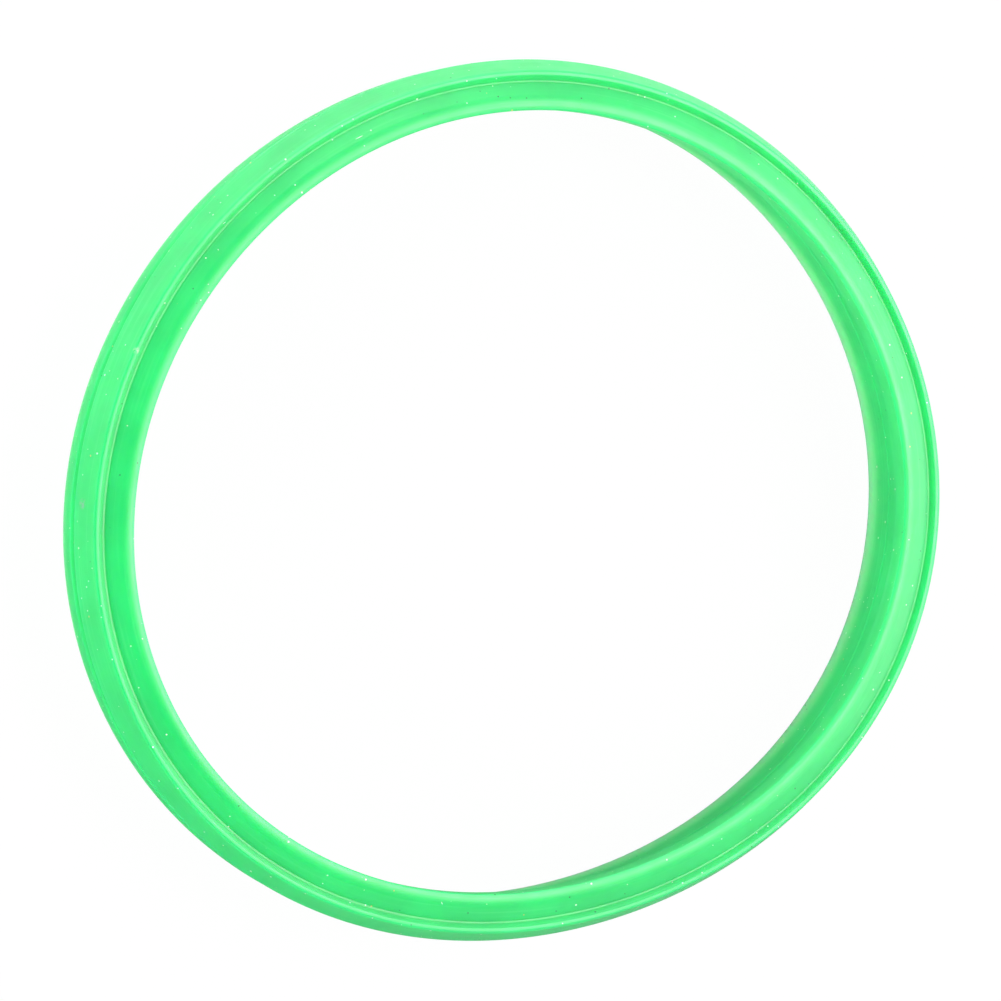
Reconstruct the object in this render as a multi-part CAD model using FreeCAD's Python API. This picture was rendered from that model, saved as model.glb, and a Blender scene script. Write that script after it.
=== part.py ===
import FreeCAD, Part
import math
import os

# One moulded elastomer ring that takes up vibration between a round barrel and the housing around
# it. The ring lies flat: its axis is +Z, its back face is on z = 0 and the axis passes through the
# origin. Every size is in millimetres. "Rim" is the outermost lip edge, "mouth" the innermost one.

# ---- overall sizes
RIM_DIAMETER = 70.0
SECTION_WIDTH = 3.9        # from the mouth to the rim
HEIGHT = 10.9              # from the back face to the top of the inner lip

# ---- heel, the plain body behind the lips
HEEL_OUTER_INSET = 0.25    # the seat on the outside of the heel, in from the rim
HEEL_INNER_INSET = 0.85    # the inside wall just under the inner lip, out from the mouth
HEEL_INNER_DRAFT = 0.08    # how much further out that wall is at the back face
BACK_FACE_INSET = 1.6      # outer corner of the back face, in from the rim
SEAT_LENGTH = 2.0          # the seat's height; a lead-in taper runs from it to the back face

# ---- outer lip
RIM_DROP = 3.3             # rim edge, below the top
GROOVE_DEPTH = 0.85        # groove under the rim edge, in from the rim
GROOVE_TOP_DROP = 3.8      # upper and lower edge of the groove's floor, below the top
GROOVE_BOTTOM_DROP = 4.85
GROOVE_FLARE = 0.35        # height of the slope from the groove to the seat
OUTER_CREST_DROP = 0.5     # flat crest of the outer lip, below the top
OUTER_CREST_INSET = 0.85   # its outer corner, in from the rim
OUTER_CREST_WIDTH = 0.3

# ---- channel between the lips
CHANNEL_INSET = 1.4        # outer corner of the channel's floor, in from the rim
CHANNEL_WIDTH = 0.35
CHANNEL_STEP = 0.1         # the floor, below the lower of the outer crest and the shoulder's foot

# ---- inner lip, a rounded bead whose outer side falls away as a straight shoulder
INNER_CREST_INSET = 0.4    # the highest circle of the inner lip, out from the mouth
CREST_OUTER_BEND = 1.8     # radius of the bead from that circle towards the channel
CREST_INNER_BEND = 0.8     # and towards the mouth
SHOULDER_SLOPE = 29.0      # degrees the straight shoulder falls at, towards the channel
MOUTH_SLOPE = 18.4         # and the short straight at the mouth
SHOULDER_FOOT_GAP = 0.13   # from the foot of the shoulder out to the channel's floor
MOUTH_LAND_DROP = 2.1      # lower end of the straight land at the mouth, below the top
RECESS_DROP = 3.0          # inner corner under the lip, below the top

# ---- witness line that the mould leaves round the inside of the heel
WITNESS_HEIGHT = 5.0
WITNESS_WIDTH = 0.3
WITNESS_RISE = 0.06

# ---- rounding of the corners
BACK_INNER_ROUND = 0.3
BACK_OUTER_ROUND = 0.45
SEAT_ROUND = 0.5
GROOVE_ROUND = 0.2
RIM_ROUND = 0.08
CREST_ROUND = 0.2
CHANNEL_ROUND = 0.3
FOOT_ROUND = 0.15
MOUTH_ROUND = 0.12
LAND_ROUND = 0.25
RECESS_ROUND = 0.45
SHARP = 0.0

# ---- where the walls stand
RIM_RADIUS = RIM_DIAMETER / 2
MOUTH_RADIUS = RIM_RADIUS - SECTION_WIDTH
SEAT_RADIUS = RIM_RADIUS - HEEL_OUTER_INSET
GROOVE_RADIUS = RIM_RADIUS - GROOVE_DEPTH
RECESS_RADIUS = MOUTH_RADIUS + HEEL_INNER_INSET
BACK_BORE_RADIUS = RECESS_RADIUS + HEEL_INNER_DRAFT
INNER_CREST_RADIUS = MOUTH_RADIUS + INNER_CREST_INSET
CHANNEL_OUTER_RADIUS = RIM_RADIUS - CHANNEL_INSET
CHANNEL_INNER_RADIUS = CHANNEL_OUTER_RADIUS - CHANNEL_WIDTH
RECESS_HEIGHT = HEIGHT - RECESS_DROP


def heel_inner_radius(z):
    """Radius of the drafted inside wall of the heel at height z."""
    return BACK_BORE_RADIUS - HEEL_INNER_DRAFT * z / RECESS_HEIGHT


def bead_point(bend, lean):
    """Point (r, z) of the bead where it slopes by lean degrees, outside the crest when positive."""
    angle = math.radians(lean)
    return INNER_CREST_RADIUS + bend * math.sin(angle), HEIGHT - bend * (1 - math.cos(angle))


def bead_fall(bend, slope, run):
    """How far below the top a straight side lies, run out from the crest, at a slope in degrees."""
    lean = math.radians(slope)
    return bend * (1 - math.cos(lean)) + (run - bend * math.sin(lean)) * math.tan(lean)


def shoulder_foot():
    """Lower end of the inner lip's shoulder, as (r, z)."""
    r = CHANNEL_INNER_RADIUS - SHOULDER_FOOT_GAP
    return r, HEIGHT - bead_fall(CREST_OUTER_BEND, SHOULDER_SLOPE, r - INNER_CREST_RADIUS)


def mouth_corner():
    """Upper corner of the mouth, as (r, z)."""
    return MOUTH_RADIUS, HEIGHT - bead_fall(CREST_INNER_BEND, MOUTH_SLOPE, INNER_CREST_INSET)


def outer_corners():
    """Corners up the outside, over the outer lip and the channel to the bead: (r, z, rounding)."""
    crest_z = HEIGHT - OUTER_CREST_DROP
    crest_r = RIM_RADIUS - OUTER_CREST_INSET
    groove_bottom_z = HEIGHT - GROOVE_BOTTOM_DROP
    seat_top_z = groove_bottom_z - GROOVE_FLARE
    channel_z = min(crest_z, shoulder_foot()[1]) - CHANNEL_STEP
    return [
        (RIM_RADIUS - BACK_FACE_INSET, 0, BACK_OUTER_ROUND),
        (SEAT_RADIUS, seat_top_z - SEAT_LENGTH, SEAT_ROUND),
        (SEAT_RADIUS, seat_top_z, GROOVE_ROUND),
        (GROOVE_RADIUS, groove_bottom_z, GROOVE_ROUND),
        (GROOVE_RADIUS, HEIGHT - GROOVE_TOP_DROP, GROOVE_ROUND),
        (RIM_RADIUS, HEIGHT - RIM_DROP, RIM_ROUND),
        (crest_r, crest_z, CREST_ROUND),
        (crest_r - OUTER_CREST_WIDTH, crest_z, CREST_ROUND),
        (CHANNEL_OUTER_RADIUS, channel_z, CHANNEL_ROUND),
        (CHANNEL_INNER_RADIUS, channel_z, CHANNEL_ROUND),
        shoulder_foot() + (FOOT_ROUND,),
        bead_point(CREST_OUTER_BEND, SHOULDER_SLOPE) + (SHARP,),
    ]


def inner_corners():
    """Corners from the bead down the inside to the back face."""
    witness_low = WITNESS_HEIGHT - WITNESS_WIDTH / 2
    witness_high = WITNESS_HEIGHT + WITNESS_WIDTH / 2
    return [
        bead_point(CREST_INNER_BEND, -MOUTH_SLOPE) + (SHARP,),
        mouth_corner() + (MOUTH_ROUND,),
        (MOUTH_RADIUS, HEIGHT - MOUTH_LAND_DROP, LAND_ROUND),
        (RECESS_RADIUS, RECESS_HEIGHT, RECESS_ROUND),
        (heel_inner_radius(witness_high), witness_high, SHARP),
        (heel_inner_radius(WITNESS_HEIGHT) - WITNESS_RISE, WITNESS_HEIGHT, SHARP),
        (heel_inner_radius(witness_low), witness_low, SHARP),
        (BACK_BORE_RADIUS, 0, BACK_INNER_ROUND),
    ]


def point(r, z):
    """A point of the section, in the XZ plane."""
    return FreeCAD.Vector(r, 0, z)


def rounded_chain(corners):
    """Edges along open corners, each inner one rounded as far as its two sides allow."""
    places = [point(r, z) for r, z, rounding in corners]
    edges = []
    start = places[0]
    for index in range(1, len(corners) - 1):
        here = places[index]
        back = (places[index - 1] - here).normalize()
        ahead = (places[index + 1] - here).normalize()
        half_angle = back.getAngle(ahead) / 2
        room = 0.48 * min((places[index - 1] - here).Length, (places[index + 1] - here).Length)
        setback = min(corners[index][2] / math.tan(half_angle), room)
        if setback == 0:
            edges.append(Part.LineSegment(start, here).toShape())
            start = here
            continue
        radius = setback * math.tan(half_angle)
        inwards = (back + ahead).normalize()
        arc_start = here + back * setback
        arc_end = here + ahead * setback
        arc_middle = here + inwards * (radius / math.sin(half_angle) - radius)
        edges.append(Part.LineSegment(start, arc_start).toShape())
        edges.append(Part.Arc(arc_start, arc_middle, arc_end).toShape())
        start = arc_end
    edges.append(Part.LineSegment(start, places[-1]).toShape())
    return edges


def bead_arc(bend, first, last):
    """Arc of the bead from one slope to another, both in degrees as in bead_point."""
    places = []
    for lean in (first, (first + last) / 2, last):
        r, z = bead_point(bend, lean)
        places.append(point(r, z))
    return Part.Arc(places[0], places[1], places[2]).toShape()


def back_face_middle():
    """Middle of the back face, where the outline opens and closes."""
    return ((BACK_BORE_RADIUS + RIM_RADIUS - BACK_FACE_INSET) / 2, 0, SHARP)


def damper_ring():
    """The whole ring: one closed section turned once round the axis."""
    outside = [back_face_middle()] + outer_corners()
    inside = inner_corners() + [back_face_middle()]
    bead = [
        bead_arc(CREST_OUTER_BEND, SHOULDER_SLOPE, 0),
        bead_arc(CREST_INNER_BEND, 0, -MOUTH_SLOPE),
    ]
    edges = rounded_chain(outside) + bead + rounded_chain(inside)
    section = Part.Face(Part.Wire(edges))
    return section.revolve(FreeCAD.Vector(0, 0, 0), FreeCAD.Vector(0, 0, 1), 360)


def main():
    """Build the ring, check that it is one closed solid and write it."""
    os.makedirs("parts", exist_ok=True)
    ring = damper_ring()
    assert ring.ShapeType == "Solid" and ring.isValid() and ring.Volume > 0
    ring.exportStep("parts/damper_ring.step")
    print("mouth radius", MOUTH_RADIUS, "rim radius", RIM_RADIUS, "seat radius", SEAT_RADIUS)
    print("volume mm3", round(ring.Volume, 2), "box", ring.BoundBox)


main()
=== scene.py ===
"""The looks of a moulded green silicone damper ring, lying on a plain pale floor.

The ring is one turned section with two lips and a channel between them. It is drawn corner by corner,
rounded, spun once round its axis and then let sag out of round by about a millimetre, as a soft ring
lies when nothing holds it. Lengths are in metres and angles in degrees unless a docstring says otherwise.
"""

import logging
import math
from dataclasses import dataclass, field
from enum import Enum
from typing import Callable, Optional, Union

import bmesh
import bpy
from mathutils import Matrix, Vector


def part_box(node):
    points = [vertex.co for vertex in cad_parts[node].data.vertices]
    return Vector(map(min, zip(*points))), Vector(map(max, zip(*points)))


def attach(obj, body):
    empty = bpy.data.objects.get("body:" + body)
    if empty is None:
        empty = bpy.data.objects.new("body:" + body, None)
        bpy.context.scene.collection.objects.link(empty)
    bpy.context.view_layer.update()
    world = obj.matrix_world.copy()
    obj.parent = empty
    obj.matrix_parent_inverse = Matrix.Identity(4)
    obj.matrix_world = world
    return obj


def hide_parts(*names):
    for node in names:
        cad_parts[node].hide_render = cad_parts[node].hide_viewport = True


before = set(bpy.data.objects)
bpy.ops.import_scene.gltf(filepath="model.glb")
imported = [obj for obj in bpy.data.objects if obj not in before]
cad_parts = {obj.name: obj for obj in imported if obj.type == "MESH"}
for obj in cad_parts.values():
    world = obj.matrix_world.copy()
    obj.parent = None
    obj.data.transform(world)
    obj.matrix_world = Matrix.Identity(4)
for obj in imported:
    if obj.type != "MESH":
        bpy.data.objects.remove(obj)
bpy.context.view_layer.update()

# points nearer to each other than this are one
SAME_PLACE = 1e-6

# side of the small face that the section's first point comes from
SEED_SIZE = 0.001

log = logging.getLogger("damper_ring")

Value = Union[bpy.types.NodeSocket, float, tuple]


class Grain(Enum):
    """What the dust on the ring is made of."""

    SPECK = "speck"
    FIBRE = "fibre"


@dataclass(frozen=True)
class Corner:
    """One corner of the section.

    Args:
        radius: distance from the ring's axis.
        height: height above the back face.
        rounding: radius of the arc that rounds the corner, or 0 for a sharp one.
    """

    radius: float
    height: float
    rounding: float = 0.0


@dataclass(frozen=True)
class Wave:
    """One wave of the ring's sag out of round.

    Args:
        crests: how many crests it has in one turn.
        swing: how far a crest stands out.
        crest_at: where one crest is, in degrees from +X towards +Y.
    """

    crests: int
    swing: float
    crest_at: float

    def at(self, angle: float) -> float:
        """How far the wave pushes the ring outwards at an angle in radians."""
        return self.swing * math.cos(self.crests * (angle - math.radians(self.crest_at)))


class MeshBench:
    """Small helpers round the modelling operators."""

    @staticmethod
    def clear_selection() -> None:
        """Deselect every object."""
        for thing in bpy.context.selected_objects:
            thing.select_set(False)
        bpy.context.view_layer.objects.active = None

    @staticmethod
    def name_active(name: str) -> bpy.types.Object:
        """Name the active object and its mesh.

        Args:
            name: the new name.

        Returns:
            The object.
        """
        piece = bpy.context.active_object
        piece.name = name
        piece.data.name = name
        return piece

    @staticmethod
    def select_points(piece: bpy.types.Object, chosen: Callable[[Vector], bool]) -> int:
        """Select, in edit mode, the vertices that a test chooses by their place.

        Args:
            piece: the mesh object in edit mode.
            chosen: the test, which gets a vertex's place.

        Returns:
            How many vertices are now selected.
        """
        mesh = bmesh.from_edit_mesh(piece.data)
        count = 0
        for vertex in mesh.verts:
            vertex.select = chosen(vertex.co)
            count += vertex.select
        mesh.select_flush_mode()
        mesh.select_flush(False)
        bmesh.update_edit_mesh(piece.data)
        return count


@dataclass
class LipSection:
    """The ring's section, from the back face up over both lips and back down the inside.

    A drop is below the top of the inner lip. The rim is the outermost edge and the mouth the innermost.

    Args:
        rim_radius: radius of the rim.
        height: from the back face to the top of the inner lip.
        width: from the mouth to the rim.
        heel_outer_inset: the seat on the outside of the heel, in from the rim.
        heel_inner_inset: the inside wall just under the inner lip, out from the mouth.
        heel_inner_draft: how much further out that wall is at the back face.
        back_face_inset: outer corner of the back face, in from the rim.
        seat_length: height of the seat, from where the taper to the back face begins.
        rim_drop: drop of the rim.
        groove_depth: floor of the groove under the rim, in from the rim.
        groove_top_drop: drop of that floor's upper edge.
        groove_bottom_drop: and of its lower edge.
        groove_flare: height of the slope from the groove to the seat.
        outer_crest_drop: drop of the outer lip's crest.
        outer_crest_inset: outer edge of that crest, in from the rim.
        outer_crest_width: its width.
        channel_inset: outer edge of the channel's floor, in from the rim.
        channel_width: width of that floor.
        channel_step: how far it lies below the lower of the two edges beside it.
        inner_crest_inset: highest circle of the inner lip, out from the mouth.
        crest_outer_bend: radius of the inner lip's bead from that circle towards the channel.
        crest_inner_bend: and towards the mouth.
        shoulder_slope: how steeply the inner lip's straight shoulder falls towards the channel.
        mouth_slope: and the short straight at the mouth.
        shoulder_foot_gap: from the foot of the shoulder to the channel's floor.
        mouth_land_drop: drop of the lower end of the straight land at the mouth.
        recess_drop: drop of the corner where the recess under the lip meets the inside wall.
        witness_height: height of the line that the mould leaves round the inside.
        witness_width: its width.
        witness_rise: how far it stands out.
        back_inner_round: rounding of the back face's inner corner.
        back_outer_round: and of its outer corner.
        seat_round: rounding where the taper meets the seat.
        groove_round: rounding of the groove's corners and of the seat's upper one.
        rim_round: rounding of the rim.
        rim_nose: how far the rim's corner stands out before it is rounded.
        crest_round: rounding of the outer crest's corners.
        channel_round: rounding of the channel's corners.
        mouth_round: rounding where the land begins.
        land_round: and where it ends.
        recess_round: rounding of the recess's corner.
        bead_steps: how many faces each of the bead's two arcs has.
    """

    rim_radius: float
    height: float
    width: float = 0.0039

    # the heel, and the taper from its seat to the back face
    heel_outer_inset: float = 0.00025
    heel_inner_inset: float = 0.00085
    heel_inner_draft: float = 0.00008
    back_face_inset: float = 0.0016
    seat_length: float = 0.002

    # the rim edge with the groove under it, and the outer lip
    rim_drop: float = 0.0033
    groove_depth: float = 0.00085
    groove_top_drop: float = 0.0038
    groove_bottom_drop: float = 0.00485
    groove_flare: float = 0.00035
    outer_crest_drop: float = 0.0005
    outer_crest_inset: float = 0.0008
    outer_crest_width: float = 0.00036

    # the channel between the lips
    channel_inset: float = 0.00156
    channel_width: float = 0.00014
    channel_step: float = 0.00002

    # the inner lip: a rounded bead, a straight shoulder outside it and the land at the mouth
    inner_crest_inset: float = 0.0004
    crest_outer_bend: float = 0.0018
    crest_inner_bend: float = 0.0008
    shoulder_slope: float = 29.0
    mouth_slope: float = 9.0
    shoulder_foot_gap: float = 0.00004
    mouth_land_drop: float = 0.0021
    recess_drop: float = 0.003

    # the line that the mould leaves round the inside of the heel
    witness_height: float = 0.005
    witness_width: float = 0.0003
    witness_rise: float = 0.00006

    # how the corners are rounded
    back_inner_round: float = 0.0003
    back_outer_round: float = 0.00045
    seat_round: float = 0.0055
    groove_round: float = 0.0002
    rim_round: float = 0.00025
    rim_nose: float = 0.00007
    crest_round: float = 0.00022
    channel_round: float = 0.0004
    mouth_round: float = 0.00012
    land_round: float = 0.00025
    recess_round: float = 0.00045
    bead_steps: int = 10

    @property
    def crest_radius(self) -> float:
        """Radius of the highest circle of the inner lip."""
        return self.rim_radius - self.width + self.inner_crest_inset

    def bead_fall(self, bend: float, slope: float, run: float) -> float:
        """How far below the top a straight side of the inner lip's bead lies.

        Args:
            bend: radius of the bead that the side runs on from.
            slope: how steeply the side falls, in degrees.
            run: how far out from the crest the point is.

        Returns:
            The point's drop below the top.
        """
        lean = math.radians(slope)
        return bend * (1 - math.cos(lean)) + (run - bend * math.sin(lean)) * math.tan(lean)

    def foot(self) -> Corner:
        """Lower end of the inner lip's shoulder, beside the channel.

        Returns:
            The corner there.
        """
        radius = self.rim_radius - self.channel_inset - self.channel_width - self.shoulder_foot_gap
        run = radius - self.crest_radius
        fall = self.bead_fall(self.crest_outer_bend, self.shoulder_slope, run)
        return Corner(radius, self.height - fall)

    def outside(self) -> list[Corner]:
        """Outline up the outside of the heel, over the outer lip and through the channel.

        Returns:
            Its corners.
        """
        seat = self.rim_radius - self.heel_outer_inset
        groove = self.rim_radius - self.groove_depth
        crest = self.rim_radius - self.outer_crest_inset
        crest_height = self.height - self.outer_crest_drop
        groove_bottom = self.height - self.groove_bottom_drop
        seat_top = groove_bottom - self.groove_flare
        channel = self.rim_radius - self.channel_inset
        channel_height = min(crest_height, self.foot().height) - self.channel_step
        return [
            Corner(self.rim_radius - self.back_face_inset, 0.0, self.back_outer_round),
            Corner(seat, seat_top - self.seat_length, self.seat_round),
            Corner(seat, seat_top, self.groove_round),
            Corner(groove, groove_bottom, self.groove_round),
            Corner(groove, self.height - self.groove_top_drop, self.groove_round),
            Corner(self.rim_radius + self.rim_nose, self.height - self.rim_drop, self.rim_round),
            Corner(crest, crest_height, self.crest_round),
            Corner(crest - self.outer_crest_width, crest_height, self.crest_round),
            Corner(channel, channel_height, self.channel_round),
            Corner(channel - self.channel_width, channel_height, self.channel_round),
            self.foot(),
        ]

    def bead_arc(self, bend: float, first: float, last: float) -> list[Corner]:
        """Points of the inner lip's rounded bead.

        Args:
            bend: the bead's radius.
            first: slope at its first point, in degrees, positive on the channel's side of the crest.
            last: slope at its last point.

        Returns:
            The points, both ends among them.
        """
        points = []
        for step in range(self.bead_steps + 1):
            lean = math.radians(first + (last - first) * step / self.bead_steps)
            across = bend * math.sin(lean)
            points.append(Corner(self.crest_radius + across, self.height - bend * (1 - math.cos(lean))))
        return points

    def bead(self) -> list[Corner]:
        """The inner lip from the end of its shoulder, over the crest, to the mouth.

        Returns:
            The points of its two arcs.
        """
        outer = self.bead_arc(self.crest_outer_bend, self.shoulder_slope, 0.0)
        inner = self.bead_arc(self.crest_inner_bend, 0.0, -self.mouth_slope)
        return outer + inner[1:]

    def inside(self) -> list[Corner]:
        """Outline from the mouth down the inside of the heel to the back face.

        Returns:
            Its corners.
        """
        mouth = self.rim_radius - self.width
        mouth_drop = self.bead_fall(self.crest_inner_bend, self.mouth_slope, self.inner_crest_inset)
        recess_height = self.height - self.recess_drop
        recess = mouth + self.heel_inner_inset

        def wall(height: float) -> float:
            """Radius of the drafted inside wall at a height."""
            return recess + self.heel_inner_draft * (1 - height / recess_height)

        high = self.witness_height + self.witness_width / 2
        low = self.witness_height - self.witness_width / 2
        return [
            Corner(mouth, self.height - mouth_drop, self.mouth_round),
            Corner(mouth, self.height - self.mouth_land_drop, self.land_round),
            Corner(recess, recess_height, self.recess_round),
            Corner(wall(high), high),
            Corner(wall(self.witness_height) - self.witness_rise, self.witness_height),
            Corner(wall(low), low),
            Corner(wall(0.0), 0.0, self.back_inner_round),
        ]

    def corners(self) -> list[Corner]:
        """The closed outline, once round."""
        return self.outside() + self.bead() + self.inside()


@dataclass
class DamperRing:
    """The moulded ring itself.

    Args:
        section: its turned section.
        steps: how many faces it has round the axis.
        round_steps: how many faces each rounded corner has.
        room_share: the most of a side that the rounding at one of its ends may take up.
        smooth_angle: how sharp an edge may be and still be shaded smooth, in degrees.
        sag: the waves that it lies out of round by.
        piece: its mesh object, once it is drawn.
    """

    section: LipSection
    steps: int = 600
    round_steps: int = 5
    room_share: float = 0.48
    smooth_angle: float = 30.0
    sag: tuple[Wave, ...] = (
        Wave(crests=2, swing=0.000894, crest_at=24.1),
        Wave(crests=3, swing=0.000304, crest_at=-24.3),
        Wave(crests=4, swing=0.000048, crest_at=-23.4),
    )
    piece: Optional[bpy.types.Object] = field(init=False, default=None)

    def places(self) -> list[Vector]:
        """Where the section's corners are, on the XZ plane."""
        return [Vector((corner.radius, 0.0, corner.height)) for corner in self.section.corners()]

    def draw_outline(self) -> None:
        """Draw the section on the XZ plane, one extruded point after another."""
        MeshBench.clear_selection()
        bpy.ops.mesh.primitive_plane_add(size=SEED_SIZE)
        self.piece = MeshBench.name_active("silicone_ring")
        bpy.ops.object.mode_set(mode="EDIT")
        bpy.ops.mesh.select_mode(type="VERT")
        bpy.ops.mesh.select_all(action="SELECT")
        bpy.ops.mesh.merge(type="CENTER")
        places = self.places()
        bpy.ops.transform.translate(value=places[0])
        for here, there in zip(places, places[1:] + places[:1]):
            bpy.ops.mesh.extrude_vertices_move(TRANSFORM_OT_translate={"value": there - here})
        bpy.ops.mesh.select_all(action="SELECT")
        bpy.ops.mesh.remove_doubles(threshold=SAME_PLACE)

    def round_corners(self) -> None:
        """Bevel each corner of the outline by its own rounding."""
        places = self.places()
        count = len(places)
        for index, corner in enumerate(self.section.corners()):
            if not corner.rounding:
                continue
            here = places[index]
            back = places[index - 1] - here
            ahead = places[(index + 1) % count] - here
            room = self.room_share * min(back.length, ahead.length)
            setback = min(corner.rounding / math.tan(back.angle(ahead) / 2), room)
            MeshBench.select_points(self.piece, lambda place: (place - here).length < SAME_PLACE)
            bpy.ops.mesh.bevel(
                offset_type="OFFSET",
                offset=setback,
                segments=self.round_steps,
                profile=0.5,
                affect="VERTICES",
            )

    def spin_round(self) -> None:
        """Turn the outline once round the axis into a closed skin."""
        bpy.ops.mesh.select_all(action="SELECT")
        bpy.ops.mesh.spin(
            steps=self.steps,
            angle=math.tau,
            center=(0.0, 0.0, 0.0),
            axis=(0.0, 0.0, 1.0),
        )
        bpy.ops.mesh.select_all(action="SELECT")
        bpy.ops.mesh.remove_doubles(threshold=SAME_PLACE)
        bpy.ops.mesh.normals_make_consistent(inside=False)
        bpy.ops.object.mode_set(mode="OBJECT")

    def keep_moulded_place(self) -> None:
        """Store where each point was moulded, so that a finish can follow the lips when the ring sags."""
        mesh = self.piece.data
        moulded = mesh.attributes.new("moulded_place", "FLOAT_VECTOR", "POINT")
        for vertex, stored in zip(mesh.vertices, moulded.data):
            stored.vector = vertex.co

    def let_sag(self) -> None:
        """Push every point in or out along its radius by the waves of the sag."""
        for vertex in self.piece.data.vertices:
            angle = math.atan2(vertex.co.y, vertex.co.x)
            push = sum(wave.at(angle) for wave in self.sag)
            vertex.co.x += push * math.cos(angle)
            vertex.co.y += push * math.sin(angle)

    def smooth(self) -> None:
        """Shade the skin smooth, with the broad faces leading at the rounded corners."""
        bpy.ops.object.shade_smooth_by_angle(angle=math.radians(self.smooth_angle))
        weighted = self.piece.modifiers.new("even_shading", "WEIGHTED_NORMAL")
        weighted.keep_sharp = True
        bpy.ops.object.modifier_apply(modifier=weighted.name)

    def build(self, finish: bpy.types.Material) -> bpy.types.Object:
        """Make the ring, dress it and put it in the CAD node's place.

        Args:
            finish: the silicone's material.

        Returns:
            The finished object.
        """
        self.draw_outline()
        self.round_corners()
        self.spin_round()
        self.keep_moulded_place()
        self.let_sag()
        self.smooth()
        self.piece.data.materials.append(finish)
        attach(self.piece, "root")
        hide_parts("damper_ring")
        return self.piece


@dataclass
class NodeBench:
    """Short ways to add and join the nodes of one shader.

    Args:
        tree: the shader's node tree.
    """

    tree: bpy.types.NodeTree

    def add(self, kind: str, **settings: object) -> bpy.types.Node:
        """Add a node.

        Args:
            kind: the node's type.
            settings: attributes to set on it.

        Returns:
            The node.
        """
        node = self.tree.nodes.new(kind)
        for name, value in settings.items():
            setattr(node, name, value)
        return node

    def feed(self, value: Value, socket: bpy.types.NodeSocket) -> None:
        """Link a socket to an input, or set the input to a constant.

        Args:
            value: the socket or the constant.
            socket: the input.
        """
        if isinstance(value, bpy.types.NodeSocket):
            self.tree.links.new(value, socket)
        else:
            socket.default_value = value

    def math(self, operation: str, first: Value, second: Value = 0.0) -> bpy.types.NodeSocket:
        """Work out one sum.

        Args:
            operation: the Math node's operation.
            first: its first value.
            second: its second value.

        Returns:
            The result's socket.
        """
        node = self.add("ShaderNodeMath", operation=operation)
        self.feed(first, node.inputs[0])
        self.feed(second, node.inputs[1])
        return node.outputs[0]

    def remap(
        self, value: Value, start: tuple[float, float], end: tuple[float, float]
    ) -> bpy.types.NodeSocket:
        """Map a value from one range to another, with soft ends.

        Args:
            value: the value.
            start: the range that it comes in.
            end: the range that it goes to.

        Returns:
            The result's socket.
        """
        node = self.add("ShaderNodeMapRange", interpolation_type="SMOOTHSTEP")
        self.feed(value, node.inputs["Value"])
        node.inputs["From Min"].default_value = start[0]
        node.inputs["From Max"].default_value = start[1]
        node.inputs["To Min"].default_value = end[0]
        node.inputs["To Max"].default_value = end[1]
        return node.outputs["Result"]

    def mix(self, amount: Value, first: Value, second: Value) -> bpy.types.NodeSocket:
        """Mix two colours.

        Args:
            amount: 0 for the first and 1 for the second.
            first: the first colour.
            second: the second colour.

        Returns:
            The result's socket.
        """
        node = self.add("ShaderNodeMix", data_type="RGBA")
        self.feed(amount, node.inputs["Factor"])
        colours = [socket for socket in node.inputs if socket.type == "RGBA"]
        self.feed(first, colours[0])
        self.feed(second, colours[1])
        return next(socket for socket in node.outputs if socket.type == "RGBA")

    def noise(self, vector: Value, scale: float, detail: float = 2.0) -> bpy.types.NodeSocket:
        """Add cloudy noise.

        Args:
            vector: where it is read.
            scale: clouds in a metre.
            detail: how many finer layers it has.

        Returns:
            The value's socket.
        """
        node = self.add("ShaderNodeTexNoise")
        self.feed(vector, node.inputs["Vector"])
        node.inputs["Scale"].default_value = scale
        node.inputs["Detail"].default_value = detail
        return node.outputs["Fac"]

    def scaled(self, vector: Value, scale: tuple[float, float, float]) -> bpy.types.NodeSocket:
        """Multiply a vector by another, axis by axis.

        Args:
            vector: the vector.
            scale: what its three numbers are multiplied by.

        Returns:
            The result's socket.
        """
        node = self.add("ShaderNodeVectorMath", operation="MULTIPLY")
        self.feed(vector, node.inputs[0])
        node.inputs[1].default_value = scale
        return node.outputs["Vector"]

    def radius(self, place: Value) -> bpy.types.NodeSocket:
        """Distance of a place from the ring's axis.

        Args:
            place: the place.

        Returns:
            The distance's socket.
        """
        node = self.add("ShaderNodeVectorMath", operation="LENGTH")
        self.feed(self.scaled(place, (1.0, 1.0, 0.0)), node.inputs[0])
        return node.outputs["Value"]


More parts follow.
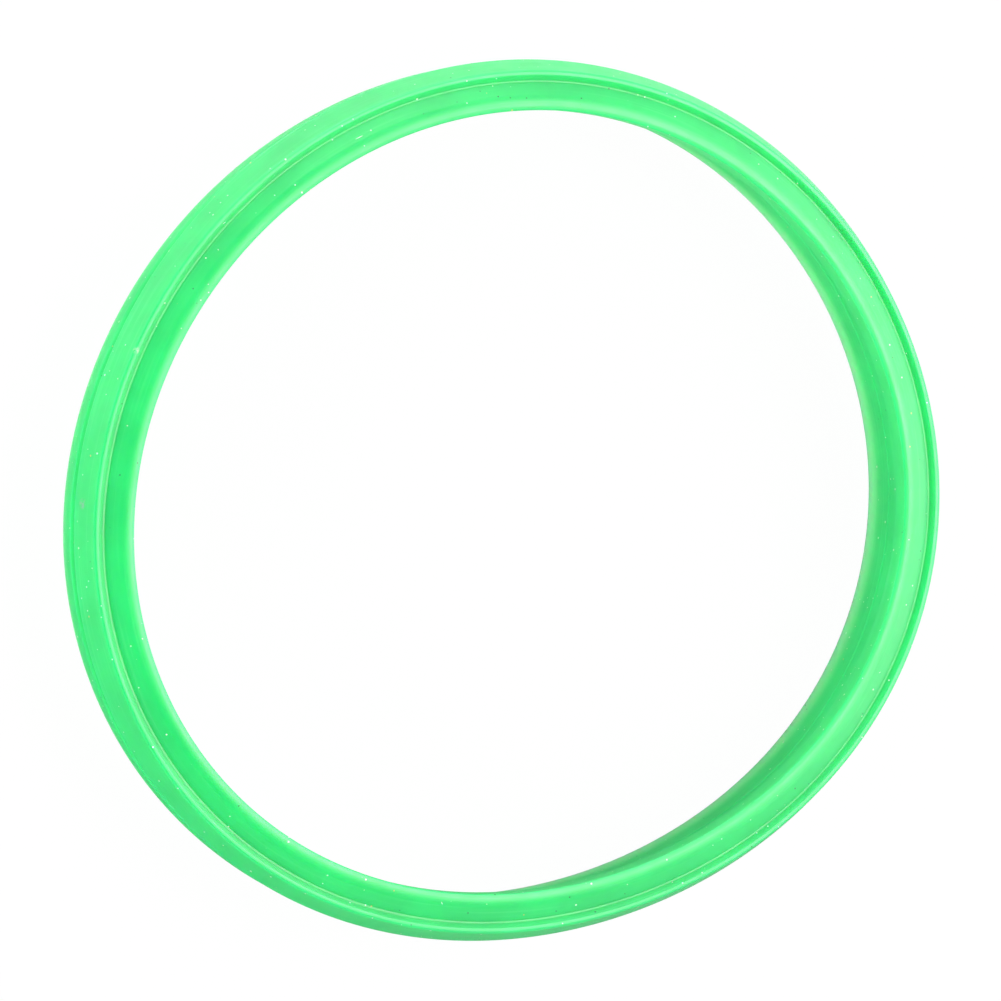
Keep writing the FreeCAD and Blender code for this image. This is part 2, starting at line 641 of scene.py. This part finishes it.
@dataclass(frozen=True)
class Dust:
    """One kind of fine dust that lies on the silicone.

    Args:
        grain: specks or fibres.
        colour: its colour.
        size: how wide a speck or a fibre is.
        length: how long it is.
        spacing: how far apart grains could lie, in widths.
        share: how many of those places have one, from 0 to 1.
        cover: how much of the silicone's colour it hides, from 0 to 1.
        turn: how the fibres lie, in degrees about the ring's axis.
        edge: where its cover begins to fade and where it ends, in halves of its width.
    """

    grain: Grain
    colour: tuple[float, float, float]
    size: float
    length: float
    spacing: float
    share: float
    cover: float
    turn: float = 0.0
    edge: tuple[float, float] = (0.7, 1.1)

    def mask(self, bench: NodeBench, place: bpy.types.NodeSocket) -> bpy.types.NodeSocket:
        """A value that is above 0 where a grain lies.

        Args:
            bench: the material's nodes.
            place: the point's place on the ring.

        Returns:
            The value's socket.
        """
        cell = self.size * self.spacing
        stretch = self.length / self.size if self.grain is Grain.FIBRE else 1.0
        laid = bench.add("ShaderNodeMapping", vector_type="TEXTURE")
        bench.feed(place, laid.inputs["Vector"])
        laid.inputs["Rotation"].default_value = (0.0, 0.0, math.radians(self.turn))
        laid.inputs["Scale"].default_value = (cell * stretch, cell, cell)
        cells = bench.add("ShaderNodeTexVoronoi")
        bench.feed(laid.outputs["Vector"], cells.inputs["Vector"])
        cells.inputs["Scale"].default_value = 1.0
        picked = bench.add("ShaderNodeSeparateColor")
        bench.feed(cells.outputs["Color"], picked.inputs["Color"])
        chosen = bench.math("LESS_THAN", picked.outputs["Red"], self.share)
        reach = 0.5 / self.spacing
        fading = (self.edge[0] * reach, self.edge[1] * reach)
        shape = bench.remap(cells.outputs["Distance"], fading, (self.cover, 0.0))
        return bench.math("MULTIPLY", chosen, shape)


@dataclass(frozen=True)
class Smudge:
    """One faint touch mark.

    Args:
        centre: its middle, where the ring was moulded.
        reach: its radius.
        cover: how much of the silicone's colour it hides, from 0 to 1.
        colour: its colour.
        crumbs: how many crumbs it falls into in a metre.
        crumb_edge: the noise at which a crumb begins and at which it is whole.
        core: share of its radius that is covered in full.
    """

    centre: tuple[float, float, float]
    reach: float
    cover: float
    colour: tuple[float, float, float] = (0.30, 0.42, 0.36)
    crumbs: float = 3500.0
    crumb_edge: tuple[float, float] = (0.35, 0.6)
    core: float = 0.2

    def mask(self, bench: NodeBench, place: bpy.types.NodeSocket) -> bpy.types.NodeSocket:
        """A value that is above 0 inside the smudge.

        Args:
            bench: the material's nodes.
            place: where the point was moulded.

        Returns:
            The value's socket.
        """
        apart = bench.add("ShaderNodeVectorMath", operation="DISTANCE")
        bench.feed(place, apart.inputs[0])
        apart.inputs[1].default_value = self.centre
        ragged = bench.remap(bench.noise(place, self.crumbs), self.crumb_edge, (0.0, 1.0))
        fading = (self.core * self.reach, self.reach)
        round_mask = bench.remap(apart.outputs["Value"], fading, (self.cover, 0.0))
        return bench.math("MULTIPLY", ragged, round_mask)


@dataclass(frozen=True)
class GreenSilicone:
    """Glossy, slightly see-through green silicone rubber with a little dust on it, and a painted glow at
    its thin back edge.

    Args:
        colour: the rubber's own colour.
        deep_colour: its colour where it is a little denser.
        clouds: how many clouds of denser colour there are in a metre.
        roughness: how much its gloss is blurred, from least to most.
        blurs: how many blurred patches there are in a metre.
        patch_edge: the noise at which a cloud or a blurred patch begins and at which it is whole.
        depth: how far light travels in it.
        painted_glow_colour: a painted glow, the paler colour painted at the thin back edge to stand in
            for light that comes through the thin silicone there.
        glow_reach: how far from that edge the painted glow reaches.
        back_bore: radius of the back edge's inner side.
        glow_lean: how much higher up the painted glow reaches for each step outwards.
        refraction: its index of refraction.
        gloss: how strongly it mirrors, where 0.5 is what that index gives.
        scatter_share: how much of the light that it sends back has travelled in it.
        scatter_reach: how far red, green and blue light travel, as shares of depth.
        bloom: strength of the pale haze at grazing angles.
        bloom_blur: how wide that haze is.
        streaks_across: how many flow marks there are in a metre across the section.
        streaks_along: and in a metre round the ring.
        streak_depth: their height.
        streak_colour: their colour.
        streak_cover: how much of the silicone's colour they hide at most, from 0 to 1.
        streak_edge: the height of a mark at which its colour begins and at which it is whole.
        dust: the kinds of dust on it.
        smudges: the touch marks on it.
    """

    colour: tuple[float, float, float] = (0.009, 0.68, 0.168)
    deep_colour: tuple[float, float, float] = (0.007, 0.62, 0.151)
    clouds: float = 260.0
    roughness: tuple[float, float] = (0.38, 0.44)
    blurs: float = 700.0
    patch_edge: tuple[float, float] = (0.3, 0.7)
    depth: float = 0.003
    # painted glow: the thin back edge is painted paler, standing in for light that comes through it
    painted_glow_colour: tuple[float, float, float] = (0.33, 0.96, 0.45)
    glow_reach: float = 0.0034
    back_bore: float = 0.032
    glow_lean: float = 0.6
    refraction: float = 1.52
    gloss: float = 1.0
    scatter_share: float = 0.85
    scatter_reach: tuple[float, float, float] = (0.2, 1.0, 0.6)
    bloom: float = 0.02
    bloom_blur: float = 0.4
    streaks_across: float = 4200.0
    streaks_along: float = 90.0
    streak_depth: float = 0.0000035
    streak_colour: tuple[float, float, float] = (0.36, 0.96, 0.52)
    streak_cover: float = 0.08
    streak_edge: tuple[float, float] = (0.5, 0.75)
    dust: tuple[Dust, ...] = (
        Dust(Grain.SPECK, (0.88, 0.94, 0.82), 0.00018, 0.00018, 6.0, 0.30, 0.85),
        Dust(Grain.SPECK, (0.90, 0.96, 0.92), 0.00013, 0.00013, 6.0, 0.45, 0.75),
        Dust(Grain.SPECK, (0.004, 0.06, 0.03), 0.00013, 0.00013, 9.0, 0.50, 0.85),
        Dust(Grain.SPECK, (0.80, 0.50, 0.16), 0.00016, 0.00016, 10.0, 0.50, 0.80),
        Dust(Grain.FIBRE, (0.90, 0.95, 0.92), 0.00007, 0.0007, 6.0, 0.03, 0.80, 25.0),
        Dust(Grain.FIBRE, (0.90, 0.95, 0.92), 0.00007, 0.0006, 6.0, 0.03, 0.80, 115.0),
    )
    smudges: tuple[Smudge, ...] = (
        Smudge((-0.03464, 0.00065, 0.0087), 0.00055, 0.8),
        Smudge((-0.0316, 0.0126, 0.0104), 0.00035, 0.9, (0.55, 0.85, 0.45)),
    )

    def painted_glow(self, bench: NodeBench, moulded: bpy.types.NodeSocket) -> bpy.types.NodeSocket:
        """How much painted glow a point gets: a value that rises to 1 towards the thin back edge,
        standing in for light that comes through it.

        Args:
            bench: the material's nodes.
            moulded: where the point was moulded.

        Returns:
            The value's socket.
        """
        parts = bench.add("ShaderNodeSeparateXYZ")
        bench.feed(moulded, parts.inputs[0])
        outwards = bench.math("SUBTRACT", bench.radius(moulded), self.back_bore)
        lift = bench.math("MULTIPLY", outwards, self.glow_lean)
        height = bench.math("SUBTRACT", parts.outputs["Z"], lift)
        return bench.remap(height, (0.0, self.glow_reach), (1.0, 0.0))

    def tint(
        self,
        bench: NodeBench,
        place: bpy.types.NodeSocket,
        moulded: bpy.types.NodeSocket,
        marks: bpy.types.NodeSocket,
    ) -> bpy.types.NodeSocket:
        """The rubber's colour with its flow marks, dust and smudges, and the painted glow at its thin
        back edge.

        Args:
            bench: the material's nodes.
            place: the point's place on the ring.
            moulded: where the point was moulded.
            marks: the height of the flow marks.

        Returns:
            The colour's socket.
        """
        density = bench.remap(bench.noise(place, self.clouds, 3.0), self.patch_edge, (0.0, 1.0))
        colour = bench.mix(density, (*self.colour, 1.0), (*self.deep_colour, 1.0))
        # painted glow: paler towards the thin back edge, where light comes through
        colour = bench.mix(self.painted_glow(bench, moulded), colour, (*self.painted_glow_colour, 1.0))
        streaks = bench.remap(marks, self.streak_edge, (0.0, self.streak_cover))
        colour = bench.mix(streaks, colour, (*self.streak_colour, 1.0))
        for smudge in self.smudges:
            colour = bench.mix(smudge.mask(bench, moulded), colour, (*smudge.colour, 1.0))
        for kind in self.dust:
            colour = bench.mix(kind.mask(bench, place), colour, (*kind.colour, 1.0))
        return colour

    def flow_marks(self, bench: NodeBench, moulded: bpy.types.NodeSocket) -> bpy.types.NodeSocket:
        """A value that wanders finely across the section and slowly round the ring.

        Args:
            bench: the material's nodes.
            moulded: where the point was moulded.

        Returns:
            The value's socket.
        """
        stretch = (self.streaks_along, self.streaks_along, self.streaks_across)
        marks = bench.add("ShaderNodeTexNoise", noise_dimensions="4D")
        bench.feed(bench.scaled(moulded, stretch), marks.inputs["Vector"])
        across = bench.math("MULTIPLY", bench.radius(moulded), self.streaks_across)
        bench.feed(across, marks.inputs["W"])
        marks.inputs["Scale"].default_value = 1.0
        marks.inputs["Detail"].default_value = 2.0
        return marks.outputs["Fac"]

    def material(self) -> bpy.types.Material:
        """Build the finish's material.

        Returns:
            The material.
        """
        material = bpy.data.materials.new("green_silicone")
        material.use_nodes = True
        bench = NodeBench(material.node_tree)
        shader = material.node_tree.nodes["Principled BSDF"]
        place = bench.add("ShaderNodeTexCoord").outputs["Object"]
        moulded = bench.add("ShaderNodeAttribute", attribute_name="moulded_place").outputs["Vector"]
        marks = self.flow_marks(bench, moulded)
        bump = bench.add("ShaderNodeBump")
        bump.inputs["Strength"].default_value = 1.0
        bump.inputs["Distance"].default_value = self.streak_depth
        bench.feed(marks, bump.inputs["Height"])
        bench.feed(bump.outputs["Normal"], shader.inputs["Normal"])
        bench.feed(self.tint(bench, place, moulded, marks), shader.inputs["Base Color"])
        blur = bench.remap(bench.noise(place, self.blurs), self.patch_edge, self.roughness)
        bench.feed(blur, shader.inputs["Roughness"])
        shader.inputs["IOR"].default_value = self.refraction
        shader.inputs["Specular IOR Level"].default_value = self.gloss
        shader.inputs["Subsurface Weight"].default_value = self.scatter_share
        shader.inputs["Subsurface Radius"].default_value = self.scatter_reach
        shader.inputs["Subsurface Scale"].default_value = self.depth
        shader.inputs["Sheen Weight"].default_value = self.bloom
        shader.inputs["Sheen Roughness"].default_value = self.bloom_blur
        return material


@dataclass
class Viewpoint:
    """The camera, from how the ring lies to it.

    Args:
        aim_height: height of the point on the ring's axis that it is aimed from.
        tilt: angle between the ring's axis and the line to the camera.
        tilt_down: how far below the picture's horizontal the axis leans, as it leans to the right.
        distance: from that point to the camera.
        slide_right: how far the camera is slid along the picture's horizontal.
        slide_up: and along its vertical.
        focal_length: in millimetres.
        sensor_width: in millimetres.
        clip: the nearest and the farthest that it sees.
    """

    aim_height: float = 0.01
    tilt: float = 19.0
    tilt_down: float = 8.647
    distance: float = 0.9354
    slide_right: float = -0.001484
    slide_up: float = 0.000384
    focal_length: float = 431.57
    sensor_width: float = 36.0
    clip: tuple[float, float] = (0.05, 20.0)

    def axes(self) -> tuple[Vector, Vector, Vector]:
        """Work out the picture's own directions.

        Returns:
            The directions to its right, up it and out of it, towards the camera.
        """
        lean = math.sin(math.radians(self.tilt))
        right_z = lean * math.cos(math.radians(self.tilt_down))
        up_z = -lean * math.sin(math.radians(self.tilt_down))
        right = Vector((math.sqrt(1 - right_z**2), 0.0, right_z))
        up_x = -right_z * up_z / right.x
        up = Vector((up_x, math.sqrt(1 - up_x**2 - up_z**2), up_z))
        return right, up, right.cross(up)

    def build(self) -> bpy.types.Object:
        """Make the camera and set it as the scene's.

        Returns:
            The camera.
        """
        right, up, back = self.axes()
        data = bpy.data.cameras.new("viewpoint")
        data.sensor_width = self.sensor_width
        data.lens = self.focal_length
        data.clip_start, data.clip_end = self.clip
        camera = bpy.data.objects.new("viewpoint", data)
        place = Vector((0.0, 0.0, self.aim_height)) + self.distance * back
        place += self.slide_right * right + self.slide_up * up
        turn = Matrix((right, up, back)).transposed().to_4x4()
        camera.matrix_world = Matrix.Translation(place) @ turn
        bpy.context.scene.collection.objects.link(camera)
        bpy.context.scene.camera = camera
        return camera


@dataclass
class SoftBox:
    """One upright rectangular area lamp, facing the origin.

    Args:
        name: its name.
        azimuth: where it stands, in degrees from +X towards +Y.
        elevation: how high it stands, in degrees.
        width: its level side.
        height: its other side.
        strength: its power, in watts.
        distance: how far it stands from the origin.
        mirrored: whether gloss shows it.
    """

    name: str
    azimuth: float
    elevation: float
    width: float
    height: float
    strength: float
    distance: float = 0.8
    mirrored: bool = True

    def build(self) -> bpy.types.Object:
        """Make the lamp.

        Returns:
            The lamp.
        """
        azimuth = math.radians(self.azimuth)
        elevation = math.radians(self.elevation)
        away = Vector((
            math.cos(azimuth) * math.cos(elevation),
            math.sin(azimuth) * math.cos(elevation),
            math.sin(elevation),
        ))
        data = bpy.data.lights.new(self.name, "AREA")
        data.shape = "RECTANGLE"
        data.size = self.width
        data.size_y = self.height
        data.energy = self.strength
        lamp = bpy.data.objects.new(self.name, data)
        lamp.location = away * self.distance
        lamp.rotation_mode = "QUATERNION"
        lamp.rotation_quaternion = away.to_track_quat("Z", "Y")
        lamp.visible_glossy = self.mirrored
        bpy.context.scene.collection.objects.link(lamp)
        return lamp


@dataclass
class Studio:
    """The plain pale floor, the pale walls of the tent round it and the soft lamps.

    Args:
        floor_radius: radius of the round floor.
        floor_sides: how many sides its outline has.
        floor_gap: how far the floor lies under the ring, so that the two faces don't coincide.
        floor_bounce_painted_shade: the share of light that the floor sends back, in front of the ring and
            behind it; the lower share in front is painted shade, standing in for the shade on the floor
            in front of the ring, and shows in the ring's gloss and in the light that the floor bounces.
        shade_fade: how far in front and behind that painted shade changes.
        floor_roughness: how matt the floor is.
        floor_glow: how much of its white is its own, where the camera sees it.
        front_light: strength of the tent's wall towards -Y, at the floor's height.
        back_light: and towards +Y.
        top_share: how much of that is left straight above.
        lamps: the lamps.
    """

    floor_radius: float = 1.5
    floor_sides: int = 96
    floor_gap: float = 0.00002
    # painted shade: the floor's front half sends back less light, standing in for the shade in front of
    # the ring
    floor_bounce_painted_shade: tuple[float, float] = (0.3, 0.85)
    shade_fade: float = 0.05
    floor_roughness: float = 0.9
    floor_glow: float = 0.98
    front_light: float = 1.07
    back_light: float = 1.14
    top_share: float = 0.06
    lamps: tuple[SoftBox, ...] = (
        SoftBox("right_box", 2.0, 29.0, width=0.9, height=0.8, strength=3.7),
        SoftBox("upper_box", 10.0, 66.0, width=0.5, height=0.36, strength=3.4),
        SoftBox("back_box", 100.0, 20.0, width=0.5, height=0.3, strength=2.6),
        SoftBox("left_box", 203.0, 18.0, width=0.5, height=0.3, strength=4.6, mirrored=False),
    )

    def floor_material(self) -> bpy.types.Material:
        """Pale matt floor that reads as white to the camera and keeps the ring's shadow; in front of the
        ring it is painted darker, as painted shade that only the light it bounces shows.

        Returns:
            The material.
        """
        material = bpy.data.materials.new("pale_floor")
        material.use_nodes = True
        bench = NodeBench(material.node_tree)
        shader = material.node_tree.nodes["Principled BSDF"]
        shader.inputs["Roughness"].default_value = self.floor_roughness
        shader.inputs["Specular IOR Level"].default_value = 0.0
        shader.inputs["Emission Color"].default_value = (1.0, 1.0, 1.0, 1.0)
        seen = self.seen_directly(bench)
        place = bench.add("ShaderNodeSeparateXYZ")
        bench.feed(bench.add("ShaderNodeTexCoord").outputs["Object"], place.inputs[0])
        # painted shade: the floor sends back less light in front of the ring than behind it, standing in
        # for the shade that falls there
        bounce = bench.remap(place.outputs["Y"], (-self.shade_fade, self.shade_fade), self.floor_bounce_painted_shade)
        bounce = bench.math("MULTIPLY", bounce, bench.math("SUBTRACT", 1.0, seen))
        paint = bench.math("MAXIMUM", bounce, 1 - self.floor_glow)
        glow = bench.remap(seen, (0.0, 1.0), (0.0, self.floor_glow))
        bench.feed(paint, shader.inputs["Base Color"])
        bench.feed(glow, shader.inputs["Emission Strength"])
        return material

    @staticmethod
    def seen_directly(bench: NodeBench) -> bpy.types.NodeSocket:
        """A value that is 1 for the camera's own rays and 0 for the light that bounces.

        Args:
            bench: the nodes of the floor's or the tent's shader.

        Returns:
            The value's socket.
        """
        path = bench.add("ShaderNodeLightPath")
        return bench.math("MAXIMUM", path.outputs["Is Camera Ray"], path.outputs["Is Transmission Ray"])

    def build_floor(self, height: float) -> bpy.types.Object:
        """Lay the round floor.

        Args:
            height: the height of the ring's back face.

        Returns:
            The floor.
        """
        MeshBench.clear_selection()
        bpy.ops.mesh.primitive_circle_add(
            vertices=self.floor_sides,
            radius=self.floor_radius,
            fill_type="NGON",
            location=(0.0, 0.0, 0.0),
        )
        floor = MeshBench.name_active("floor")
        floor.data.transform(Matrix.Translation((0.0, 0.0, height - self.floor_gap)))
        floor.data.materials.append(self.floor_material())
        return floor

    def build_tent(self) -> None:
        """Even pale light from all round, dimmer above, which the camera sees as white."""
        world = bpy.data.worlds.new("pale_tent")
        world.use_nodes = True
        bpy.context.scene.world = world
        bench = NodeBench(world.node_tree)
        tent = world.node_tree.nodes["Background"]
        tent.inputs["Color"].default_value = (1.0, 1.0, 1.0, 1.0)
        direction = bench.add("ShaderNodeSeparateXYZ")
        bench.feed(bench.add("ShaderNodeTexCoord").outputs["Generated"], direction.inputs[0])
        wall = bench.remap(direction.outputs["Y"], (-1.0, 1.0), (self.front_light, self.back_light))
        fading = bench.remap(direction.outputs["Z"], (0.0, 1.0), (1.0, self.top_share))
        light = bench.math("MULTIPLY", wall, fading)
        bench.feed(bench.math("MAXIMUM", light, self.seen_directly(bench)), tent.inputs["Strength"])

    def build(self, floor_height: float) -> None:
        """Make the floor, the tent and the lamps.

        Args:
            floor_height: the height of the ring's back face.
        """
        self.build_floor(floor_height)
        self.build_tent()
        for lamp in self.lamps:
            lamp.build()


def main() -> None:
    """Build the ring, the studio and the camera in order."""
    logging.basicConfig(level=logging.INFO, format="%(message)s")
    low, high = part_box("damper_ring")
    section = LipSection(rim_radius=high.x, height=high.z)
    ring = DamperRing(section).build(GreenSilicone().material())
    log.info("%s: %d faces", ring.name, len(ring.data.polygons))
    Studio().build(floor_height=low.z)
    log.info("studio: floor, tent and lamps")
    Viewpoint().build()
    log.info("camera set")
    bpy.context.scene.view_settings.view_transform = "Standard"


if __name__ == "__main__":
    main()
